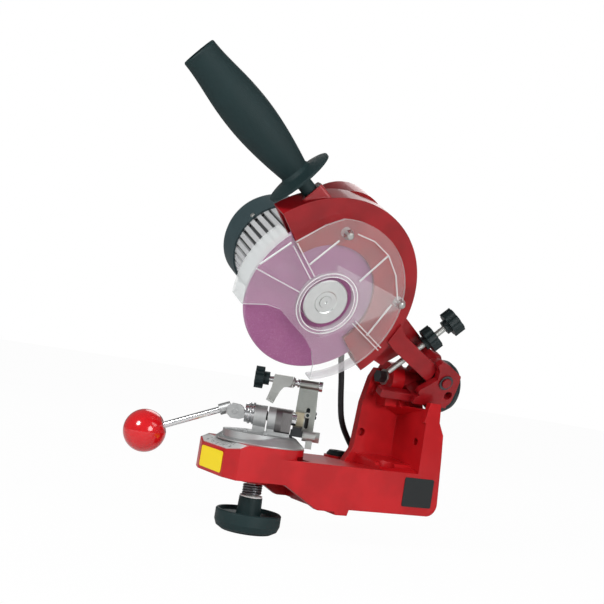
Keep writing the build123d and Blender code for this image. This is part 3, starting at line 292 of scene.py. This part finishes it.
def clearPlastic(name, look):
    paint = Finish(name)
    spot = paint.place()
    along, away = paint.aboutAxis(spot, wheelCentre, wheelNormal)
    across = paint.dot(spot, (0, 1, 0)) - perMetre * wheelCentre.y
    upwards = paint.dot(spot, headUp) - perMetre * wheelCentre.dot(headUp)
    # ribs and the ring stand proud of the plate
    rib = along.between(*look["ribFace"])
    ring = away.between(*look["ringInside"]) * (1 - away.between(*look["ringOutside"]))
    # painted highlight lines along the ring's inner and outer edges
    inner, outer = [abs(away - radius) < look["rimHalf"] for radius in look["rimLines"]]
    rimHighlight = (inner + outer) * along.between(*look["ringFace"])
    # doubled web from the ring to the rear screw
    boss = Vector(look["rearScrew"]).normalized()
    reachOut = across * boss.x + upwards * boss.y
    aside = abs(upwards * boss.x - across * boss.y)
    pastSide = (aside + reachOut * look["webTaper"]).between(*look["webSide"])
    web = reachOut.between(*look["webStart"]) * (1 - pastSide)
    # the walls, where the face turns away from the wheel's axis, get painted highlight in the opacity and
    # painted shade in the tint
    flatFace = abs(paint.dot(paint.node("TexCoord", out="Normal"), wheelNormal))
    wallEdge = 1 - flatFace.between(0.25, 0.75)
    haze = paint.noise(spot, scale=0.08, detail=3)
    scratch = paint.noise(paint.place((0.12, 1.4, 1.4)), scale=1.5, detail=3, rough=0.7)
    # opacity of the milky plastic: the base haze, the doubled web and the scratches are the plastic's own; the
    # ribs, the walls, the ring's edge lines and grazing angles get more as painted highlight and painted
    # reflection
    hazeAndHighlight = 0.045 + haze * 0.02 + web * 0.09 + (1 - ring) * (rib * 0.45 + wallEdge * 0.42)
    hazeAndHighlight = hazeAndHighlight + ring * (rimHighlight * 0.6 + wallEdge * 0.16 + 0.03)
    hazeAndHighlight = hazeAndHighlight + paint.facing(0.3) * 0.25 + scratch.between(0.66, 0.74) * 0.05
    # painted shade: the walls are tinted grey
    tint = paint.mix(wallEdge * 0.8, look["pane"], look["wall"])
    normal = paint.bump(scratch, strength=0.02, depth=0.0002, normal=paint.softEdge(0.0005))
    return paint.surface({"Base Color": tint, "Roughness": 0.06 + scratch * 0.08, "IOR": 1.49, "Alpha": hazeAndHighlight,
                          "Coat Weight": 1.0, "Coat Roughness": 0.03, "Normal": normal})


# the fins' feet are in millimetres from the motor's axis
motorLook = {"finFeet": (42.6, 44.2), "gap": (0.012, 0.013, 0.015), "fin": (0.82, 0.83, 0.84),
             "streak": (0.4, 0.41, 0.42)}


def motorSilver(name, look):
    paint = Finish(name)
    spot = paint.place()
    away = paint.aboutAxis(spot, wheelCentre, wheelNormal)[1]
    fin = away.between(*look["finFeet"])
    streak = paint.noise(spot, scale=0.8, detail=3, rough=0.6)
    tint = paint.mix(fin, look["gap"], look["fin"])
    tint = paint.mix(streak * 0.2, tint, look["streak"])
    normal = paint.bump(streak, strength=0.15, depth=0.0003, normal=paint.softEdge(0.0005))
    return paint.surface({"Base Color": tint, "Metallic": fin * 0.55, "Roughness": 0.38 + streak * 0.12,
                          "Normal": normal})


def glossBall(name, deep, bright):
    paint = Finish(name)
    spot = paint.place()
    cloud = paint.noise(spot, scale=0.05)
    scuff = paint.noise(spot, scale=1.4, detail=4, rough=0.7)
    tint = paint.mix(cloud, deep, bright)
    normal = paint.bump(scuff, strength=0.04, depth=0.0003)
    return paint.surface({"Base Color": tint, "Roughness": 0.16 + scuff.between(0.55, 0.8) * 0.16,
                          "Coat Weight": 0.7, "Coat Roughness": 0.06, "Specular IOR Level": 0.3,
                          "Normal": normal})


# yellow in front of the border (in millimetres), near black behind it, both bare
plateLook = {"border": -100.0, "side": (0.012, 0.015, 0.018), "front": (0.93, 0.72, 0.012),
             "grain": (0.3, 0.28, 0.2)}


def blankPlate(name, look):
    paint = Finish(name)
    spot = paint.place()
    inFront = paint.dot(spot, (0, 1, 0)) < look["border"]
    grain = paint.noise(spot, scale=1.1, detail=3, rough=0.6)
    tint = paint.mix(inFront, look["side"], look["front"])
    tint = paint.mix(grain * 0.05, tint, look["grain"])
    normal = paint.bump(grain, strength=0.1, depth=0.0002, normal=paint.softEdge(0.0003))
    return paint.surface({"Base Color": tint, "Roughness": 0.42 + grain * 0.15, "Specular IOR Level": 0.25,
                          "Normal": normal})


# marks stand two half steps apart; widths are in degrees and ends in millimetres from the table's axis
scaleLook = {"axisBack": 130.0, "marks": ({"halfStep": 2.5, "halfWide": 0.28, "end": (43.8, 44.0)},
                                          {"halfStep": 5.0, "halfWide": 0.36, "end": (45.3, 45.5)}),
             "deep": (0.55, 0.56, 0.56), "pale": (0.74, 0.75, 0.74), "ink": (0.02, 0.02, 0.022)}


def scalePlate(name, look):
    # degree marks that point at the table's axis
    paint = Finish(name)
    spot = paint.place()
    x, y = [paint.node("SeparateXYZ", None, {0: spot}, axis) for axis in "XY"]
    away = y + look["axisBack"]
    angle = paint.math("ARCTAN2", x, away * -1.0) * degrees(1)
    far = paint.math("SQRT", x * x + away * away)
    small, large = [(paint.math("PINGPONG", angle, mark["halfStep"]) < mark["halfWide"])
                    * (1 - far.between(*mark["end"])) for mark in look["marks"]]
    ink = paint.math("MAXIMUM", small, large)
    grain = paint.noise(spot, scale=1.2, detail=3, rough=0.6)
    tint = paint.mix(grain, look["deep"], look["pale"])
    tint = paint.mix(ink, tint, look["ink"])
    normal = paint.bump(grain, strength=0.1, depth=0.0002)
    return paint.surface({"Base Color": tint, "Metallic": 0.35 - ink * 0.35, "Roughness": 0.4 + grain * 0.1,
                          "Normal": normal})


def rubberSheath(name, deep, bright):
    paint = Finish(name)
    spot = paint.place()
    grain = paint.noise(spot, scale=1.8, detail=3, rough=0.6)
    cloud = paint.noise(spot, scale=0.1)
    tint = paint.mix(cloud, deep, bright)
    normal = paint.bump(grain, strength=0.18, depth=0.0002)
    return paint.surface({"Base Color": tint, "Roughness": 0.42 + grain * 0.15, "Specular IOR Level": 0.25,
                          "Normal": normal})


finishes = {finish.name: finish for finish in [
    redEnamel("basePaint", (0.40, 0.004, 0.007), (0.50, 0.006, 0.010)),
    # the head's red is the base's red made darker: painted shade on the head
    redEnamel("shadedHeadPaint", (0.23, 0.003, 0.006), (0.31, 0.005, 0.009)),
    metal("zincPlate", (0.38, 0.39, 0.37), (0.62, 0.63, 0.61), 0.36),
    metal("bracketZinc", (0.30, 0.32, 0.30), (0.58, 0.60, 0.56), 0.3, grain=(0.3, 0.3, 2.0)),
    metal("brightSteel", (0.62, 0.63, 0.64), (0.82, 0.83, 0.84), 0.2, strength=0.05),
    metal("leverChrome", (0.74, 0.75, 0.76), (0.88, 0.89, 0.90), 0.16, strength=0.02),
    turned("castSilver", tableCentre, (0, 0, 1), (0.38, 0.39, 0.39), (0.52, 0.53, 0.53), 0.46),
    turned("jawSilver", viseCentre, viseAlong, (0.36, 0.37, 0.37), (0.54, 0.55, 0.55), 0.42),
    turned("jawDark", viseCentre, viseAlong, (0.16, 0.15, 0.15), (0.34, 0.33, 0.33), 0.3),
    turned("wheelFlange", wheelCentre, wheelNormal, (0.62, 0.64, 0.63), (0.82, 0.84, 0.83), 0.3),
    metal("darkSteel", (0.05, 0.05, 0.055), (0.14, 0.14, 0.15), 0.35),
    metal("springSteel", (0.10, 0.10, 0.11), (0.24, 0.24, 0.25), 0.32),
    mouldedPlastic("blackSteel", (0.008, 0.009, 0.010), (0.022, 0.024, 0.027), 0.42, coat=0.2),
    metal("copperWinding", (0.4, 0.16, 0.07), (0.65, 0.3, 0.14), 0.35),
    metal("brassBlock", (0.45, 0.39, 0.27), (0.64, 0.58, 0.43), 0.34),
    mouldedPlastic("knobPlastic", (0.004, 0.010, 0.011), (0.010, 0.022, 0.024), 0.42),
    mouldedPlastic("handwheelPlastic", (0.005, 0.017, 0.018), (0.012, 0.033, 0.035), 0.5),
    mouldedPlastic("capPlastic", (0.018, 0.036, 0.042), (0.040, 0.066, 0.072), 0.42, strength=0.15),
    mouldedPlastic("gripRubber", (0.002, 0.012, 0.013), (0.006, 0.024, 0.026), 0.62, grainScale=2.2,
                   strength=0.5),
    mouldedPlastic("whiteNylon", (0.72, 0.73, 0.72), (0.85, 0.86, 0.85), 0.4, strength=0.1),
    abrasive("wheelGrit", gritLook),
    clearPlastic("guardClear", guardLook),
    motorSilver("motorFins", motorLook),
    glossBall("ballRed", (0.54, 0.005, 0.008), (0.66, 0.010, 0.016)),
    blankPlate("plateBlank", plateLook),
    scalePlate("plateScale", scaleLook),
    rubberSheath("cordSheath", (0.010, 0.011, 0.012), (0.024, 0.025, 0.027)),
]}

nodeFinish = {
    "basePaint": ["base_casting"],
    # the head pieces get the darker red, which is painted shade
    "shadedHeadPaint": ["tilt_yoke", "head_casting", "hinge_pin"],
    "zincPlate": ["tilt_washers", "table_bolt", "stop_pin", "stop_nut", "stop_block_screw", "pan_screws",
                  "pawl_nut", "pawl", "depth_screw"],
    "bracketZinc": ["stop_bracket"],
    "brightSteel": ["clamp_rod", "clamp_washer", "stop_rod", "motor_shaft", "ball_bearings"],
    "leverChrome": ["lever_rod"],
    "castSilver": ["turntable_dome", "vise_body"],
    "jawSilver": ["moving_jaw", "lever_hub"],
    "jawDark": ["rear_jaw"],
    "wheelFlange": ["outer_flange", "wheel_screw"],
    "darkSteel": ["tilt_bolt", "hinge_circlips", "rotor_core"],
    "springSteel": ["table_spring", "jaw_spring", "return_spring"],
    "blackSteel": ["stop_post", "switch_housing", "switch_body", "switch_rocker"],
    "copperWinding": ["stator"],
    "brassBlock": ["stop_block"],
    "knobPlastic": ["stop_lock_knob", "star_knob", "depth_end_knob", "depth_lock_knob", "tilt_lock_knob",
                    "fan", "ear_grommet"],
    "handwheelPlastic": ["table_knob"],
    "capPlastic": ["motor_cap"],
    "gripRubber": ["handle_grip"],
    "whiteNylon": ["table_washer"],
    "wheelGrit": ["grinding_wheel"],
    "guardClear": ["guard"],
    "motorFins": ["motor_body"],
    "ballRed": ["lever_ball"],
    "plateBlank": ["blank_plates"],
    "plateScale": ["scale_plate"],
    "cordSheath": ["cord_gland", "plug", "cord", "cord_coil"],
}
for name, nodes in nodeFinish.items():
    for node in nodes:
        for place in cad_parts[node].material_slots:
            place.material = finishes[name]
print("finishes on", sum(len(nodes) for nodes in nodeFinish.values()), "pieces")


# springs as wound wire
springs = [
    {"name": "woundTableSpring", "stands": "table_spring", "base": (0, -0.130, 0), "along": (0, 0, 1),
     "radius": 0.0079, "wire": 0.0013, "length": 0.012, "turns": 4,
     "slot": "spring_steel", "finish": "springSteel"},
    {"name": "woundJawSpring", "stands": "jaw_spring", "base": (-0.002, -0.1334641, 0.075),
     "along": viseAlong, "radius": 0.0041, "wire": 0.0006, "length": 0.0118, "turns": 6,
     "slot": "spring_steel", "finish": "springSteel"},
    {"name": "woundReturnSpring", "stands": "return_spring", "base": hingeCentre + wheelNormal * 0.0014,
     "along": wheelNormal, "radius": 0.0077, "wire": 0.0011, "length": 0.0066, "turns": 3,
     "slot": "spring_steel", "finish": "springSteel"},
]
springFacets = {"around": 10, "perTurn": 24}


def woundSpring(spring):
    bpy.ops.mesh.primitive_circle_add(vertices=springFacets["around"], radius=spring["wire"],
                                      location=(spring["radius"], 0, 0), rotation=(radians(90), 0, 0))
    wire = bpy.context.object
    wire.name = spring["name"]
    bpy.ops.object.transform_apply(location=True, rotation=True, scale=True)
    wound = wire.modifiers.new("wound", "SCREW")
    wound.axis = "Z"
    wound.angle = 2 * pi
    wound.steps = springFacets["perTurn"]
    wound.render_steps = springFacets["perTurn"]
    wound.iterations = spring["turns"]
    wound.screw_offset = (spring["length"] - 2 * spring["wire"]) / spring["turns"]
    bpy.ops.object.modifier_apply(modifier="wound")
    # close both ends of the wire
    bpy.ops.object.mode_set(mode="EDIT")
    bpy.ops.mesh.select_all(action="SELECT")
    bpy.ops.mesh.region_to_loop()
    bpy.ops.mesh.edge_face_add()
    bpy.ops.mesh.select_all(action="SELECT")
    bpy.ops.mesh.normals_make_consistent(inside=False)
    bpy.ops.object.mode_set(mode="OBJECT")
    bpy.ops.object.shade_smooth()
    along = Vector(spring["along"])
    wire.location = Vector(spring["base"]) + along * spring["wire"]
    wire.rotation_euler = along.to_track_quat("Z", "Y").to_euler()
    bpy.ops.object.transform_apply(location=True, rotation=True, scale=True)
    wire.data.materials.append(finishes[spring["finish"]])
    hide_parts(spring["stands"])
    wire.select_set(False)
    return wire


tableSpring, jawSpring, returnSpring = [woundSpring(spring) for spring in springs]
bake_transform(tableSpring)
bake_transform(jawSpring)
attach(returnSpring, "yoke")
print("springs wound")

# plain numbers on the scale; outerRise moves the outer ones up the bevel
scaleNumbers = {"size": 0.0034, "bold": 0.00012, "slope": atan2(7, 14), "low": (-0.177, 0.042), "up": 0.0030,
                "outerRise": 0.06, "lift": 0.00062,
                "marks": ((-0.0235, "30"), (-0.0115, "15"), (0, "0"), (0.0115, "15"), (0.0235, "30"))}
slope, lift = scaleNumbers["slope"], scaleNumbers["lift"]
numberMeshes = []
for across, word in scaleNumbers["marks"]:
    upward = scaleNumbers["up"] + abs(across) * scaleNumbers["outerRise"]
    bpy.ops.object.text_add(location=(0, 0, 0))
    number = bpy.context.object
    number.data.body = word
    number.data.size = scaleNumbers["size"]
    number.data.align_x = "CENTER"
    number.data.offset = scaleNumbers["bold"]
    bpy.ops.object.convert(target="MESH")
    number = bpy.context.object
    number.location = (across, scaleNumbers["low"][0] + upward * cos(slope) - lift * sin(slope),
                       scaleNumbers["low"][1] + upward * sin(slope) + lift * cos(slope))
    number.rotation_euler = (slope, 0, 0)
    bpy.ops.object.transform_apply(location=True, rotation=True, scale=True)
    number.select_set(False)
    numberMeshes.append(number)
for number in numberMeshes:
    number.select_set(True)
bpy.context.view_layer.objects.active = numberMeshes[0]
bpy.ops.object.join()
numbers = bpy.context.object
numbers.name = "scaleNumbers"
numbers.data.materials.clear()
numbers.data.materials.append(finishes["blackSteel"])
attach(numbers, "base")
bpy.ops.object.select_all(action="DESELECT")
print("numbers set")

# cord; a turn changes its radius and height over its last part, from climbFrom on
cordLine = {"diameter": 0.006, "coilCentre": (-0.095, 0.086), "rows": (0.00304, 0.00904, 0.01504),
            "outer": 0.036, "inner": 0.030, "steps": 16, "lastSteps": 5, "climbFrom": 0.8, "climbLength": 0.2,
            "startAngle": radians(270), "tail": ((-0.131, 0.096), (-0.131, 0.106), (-0.131, 0.116))}
route = [
    (-0.0336305, -0.035, 0.1591974), (-0.0376, -0.0330, 0.143), (-0.038, -0.0281, 0.124),
    (-0.041, -0.0224, 0.097), (-0.0435, -0.0160, 0.075), (-0.050, 0.0020, 0.055),
    (-0.053, 0.0220, 0.035), (-0.060, 0.0370, 0.017), (-0.074, 0.0465, 0.0065)]


def cordPoints():
    # route from the gland, then six turns and a quarter of neat coil
    low, middle, high = cordLine["rows"]
    outer, inner, steps = cordLine["outer"], cordLine["inner"], cordLine["steps"]
    turns = [(outer, low), (inner, low), (inner, middle), (outer, middle), (inner, high), (outer, high),
             (outer, high)]
    middleX, middleY = cordLine["coilCentre"]

    def onTurn(step, radius, height):
        # the route meets the coil on its -Y side and the turns run clockwise
        angle = cordLine["startAngle"] - 2 * pi * step / steps
        return middleX + radius * cos(angle), middleY + radius * sin(angle), height

    points = list(route)
    for (radius, height), (nextRadius, nextHeight) in zip(turns, turns[1:]):
        for step in range(steps):
            share = min(max((step / steps - cordLine["climbFrom"]) / cordLine["climbLength"], 0), 1)
            points.append(onTurn(step, radius + (nextRadius - radius) * share,
                                 height + (nextHeight - height) * share))
    points += [onTurn(step, *turns[-1]) for step in range(cordLine["lastSteps"])]
    return points + [(x, y, high) for x, y in cordLine["tail"]]


def makeCord():
    curve = bpy.data.curves.new("mainsCord", "CURVE")
    curve.dimensions = "3D"
    spline = curve.splines.new("NURBS")
    points = cordPoints()
    spline.points.add(len(points) - 1)
    for point, place in zip(spline.points, points):
        point.co = (*place, 1)
    spline.order_u = 3
    spline.use_endpoint_u = True
    spline.resolution_u = 6
    curve.bevel_resolution = 4
    curve.use_fill_caps = True
    curve.materials.append(finishes["cordSheath"])
    cordPiece = bpy.data.objects.new("mainsCord", curve)
    bpy.context.scene.collection.objects.link(cordPiece)
    # a bare copy of the line is evaluated first, then the round line gives the mesh
    bpy.context.view_layer.update()
    bare = cordPiece.evaluated_get(bpy.context.evaluated_depsgraph_get()).to_mesh()
    curve.bevel_depth = cordLine["diameter"] / 2
    cordPiece.select_set(True)
    bpy.context.view_layer.objects.active = cordPiece
    bpy.ops.object.convert(target="MESH")
    cordPiece.select_set(False)
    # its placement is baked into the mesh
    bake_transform(cordPiece)
    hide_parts("cord", "cord_coil")


makeCord()
print("cord laid")


# floor and world
stageLook = {"floorSize": 14, "floorHeight": -0.0334, "floorTone": 0.8, "floorGlow": 0.975,
             "skyOnPiece": 0.22, "skySeen": 1.0}


def stageFinish(name, tone, glow):
    paint = Finish(name)
    rays = [paint.node("LightPath", out=ray) for ray in ("Is Camera Ray", "Is Transmission Ray")]
    seen = paint.math("MAXIMUM", *rays)
    matt = paint.node("BsdfDiffuse", None, {"Color": (tone, tone, tone, 1)})
    white = paint.node("Emission", None, {"Color": (1, 1, 1, 1), "Strength": 1.0})
    return paint.done(paint.node("MixShader", None, {0: seen * glow, 1: matt, 2: white}))


bpy.ops.mesh.primitive_plane_add(size=stageLook["floorSize"], location=(0, 0, stageLook["floorHeight"]))
floor = bpy.context.object
floor.name = "floor"
floor.data.materials.append(stageFinish("floorPale", stageLook["floorTone"], stageLook["floorGlow"]))

world = bpy.data.worlds.new("studio")
bpy.context.scene.world = world
world.use_nodes = True
sky = world.node_tree.nodes
join = world.node_tree.links.new
sky.clear()
rays = sky.new("ShaderNodeLightPath")
clear = sky.new("ShaderNodeMath")
clear.operation = "MAXIMUM"
level = sky.new("ShaderNodeMapRange")
level.inputs["To Min"].default_value = stageLook["skyOnPiece"]
level.inputs["To Max"].default_value = stageLook["skySeen"]
back = sky.new("ShaderNodeBackground")
back.inputs["Color"].default_value = (1, 1, 1, 1)
end = sky.new("ShaderNodeOutputWorld")
join(rays.outputs["Is Camera Ray"], clear.inputs[0])
join(rays.outputs["Is Transmission Ray"], clear.inputs[1])
join(clear.outputs[0], level.inputs[0])
join(level.outputs[0], back.inputs["Strength"])
join(back.outputs[0], end.inputs["Surface"])
print("stage ready")
